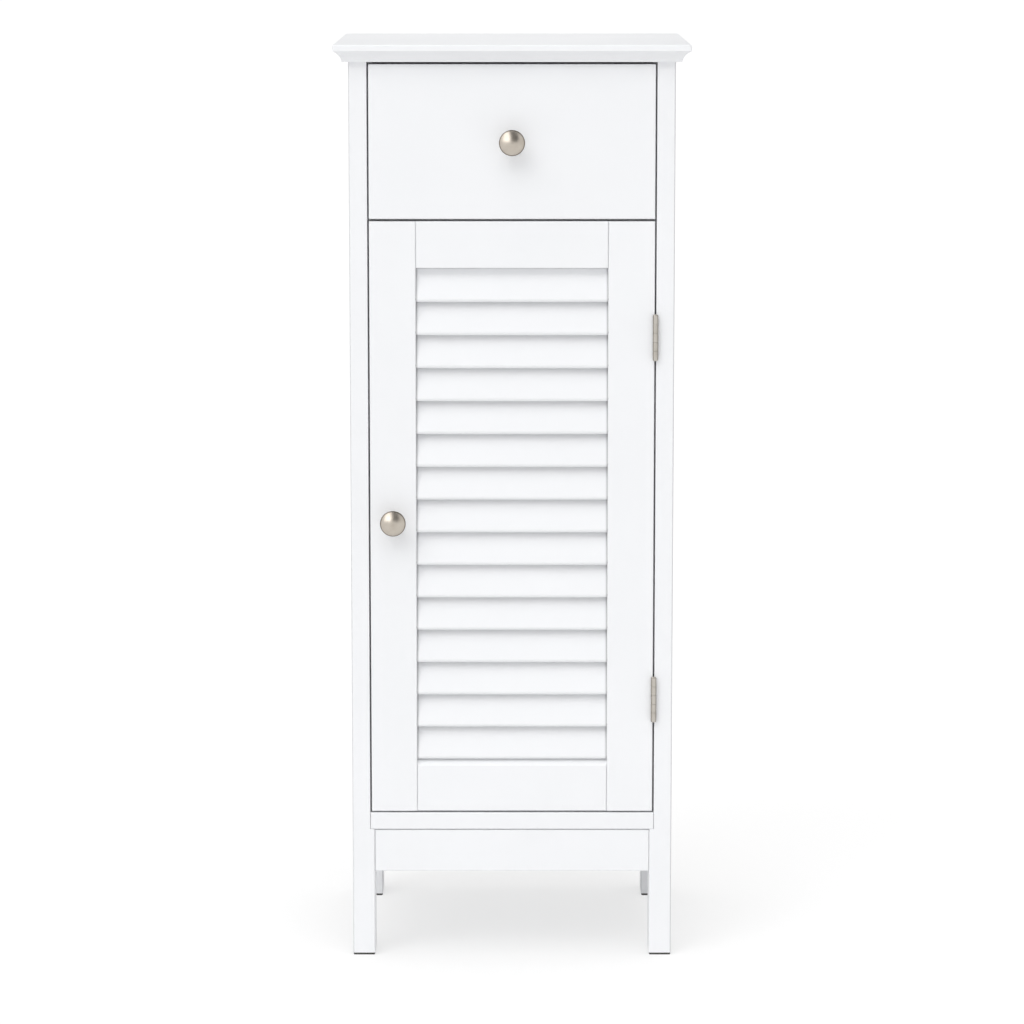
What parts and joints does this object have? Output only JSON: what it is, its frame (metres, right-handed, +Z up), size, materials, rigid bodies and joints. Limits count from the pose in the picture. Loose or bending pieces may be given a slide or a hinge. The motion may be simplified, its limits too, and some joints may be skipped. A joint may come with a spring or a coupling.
{
  "type": "louvred door cabinet",
  "caption": "Slim white floor cabinet on post legs: moulded top board, inset drawer above a right-hung louvred door, adjustable shelf inside. Stores linen and toiletries.",
  "frame": {"origin": "on the floor, under the middle of the whole cabinet with its knobs", "axes": "+Z up, -Y out of the front where the drawer and the door open, +X towards the hinge side as seen from the front"},
  "size_m": [0.33, 0.31, 0.862],
  "materials": {
    "white_paint": "satin white lacquer brushed over wood and fibreboard",
    "bare_pine": "planed and lightly sealed pine",
    "bare_beech": "planed beech, waxed on the runners",
    "white_hardboard": "thin hardboard with a white face",
    "satin_nickel": "warm satin nickel plating",
    "zinc_plated_steel": "bright zinc plating",
    "dark_plastic": "dark moulded plastic",
    "white_plastic": "white moulded plastic",
    "magnet_steel": "dark ferrite magnet"
  },
  "bodies": {
    "carcass": {"adjustable_shelf": "white_paint", "back_panel": "white_hardboard", "bottom_panel": "white_paint", "cam_bolts": "zinc_plated_steel", "cam_nuts": "zinc_plated_steel", "catch_housing": "white_plastic", "catch_magnet": "magnet_steel", "divider_panel": "white_paint", "dowels": "bare_beech", "fixing_screws": "zinc_plated_steel", "foot_glides": "dark_plastic", "front_apron": "white_paint", "front_left_post": "white_paint", "front_right_post": "white_paint", "hinge_frame_screws": "satin_nickel", "hinge_pins": "satin_nickel", "left_drawer_runner": "bare_beech", "left_side_panel": "white_paint", "lower_hinge_frame_leaf": "satin_nickel", "rear_apron": "white_paint", "rear_left_post": "white_paint", "rear_right_post": "white_paint", "right_drawer_runner": "bare_beech", "right_side_panel": "white_paint", "shelf_pins": "zinc_plated_steel", "top_panel": "white_paint", "upper_hinge_frame_leaf": "satin_nickel"},
    "door": {"catch_strike_plate": "zinc_plated_steel", "door_bottom_rail": "white_paint", "door_knob": "satin_nickel", "door_left_stile": "white_paint", "door_right_stile": "white_paint", "door_screws": "zinc_plated_steel", "door_top_rail": "white_paint", "louvre_slat_01": "white_paint", "louvre_slat_02": "white_paint", "louvre_slat_03": "white_paint", "louvre_slat_04": "white_paint", "louvre_slat_05": "white_paint", "louvre_slat_06": "white_paint", "louvre_slat_07": "white_paint", "louvre_slat_08": "white_paint", "louvre_slat_09": "white_paint", "louvre_slat_10": "white_paint", "louvre_slat_11": "white_paint", "louvre_slat_12": "white_paint", "louvre_slat_13": "white_paint", "louvre_slat_14": "white_paint", "louvre_slat_15": "white_paint", "lower_hinge_door_leaf": "satin_nickel", "upper_hinge_door_leaf": "satin_nickel"},
    "drawer": {"drawer_back": "bare_pine", "drawer_bottom": "white_hardboard", "drawer_front": "white_paint", "drawer_inner_front": "bare_pine", "drawer_knob": "satin_nickel", "drawer_left_side": "bare_pine", "drawer_right_side": "bare_pine", "drawer_screws": "zinc_plated_steel"}
  },
  "joints": [
    {"name": "door_hinge", "type": "hinge", "parent": "carcass", "child": "door", "pos_m": [0.13335, -0.1339, 0.4194], "axis": [0, 0, 1], "range_deg": [0, 175]},
    {"name": "drawer_slide", "type": "slide", "parent": "carcass", "child": "drawer", "axis": [0, -1, 0], "range_m": [0, 0.16]}
  ]
}
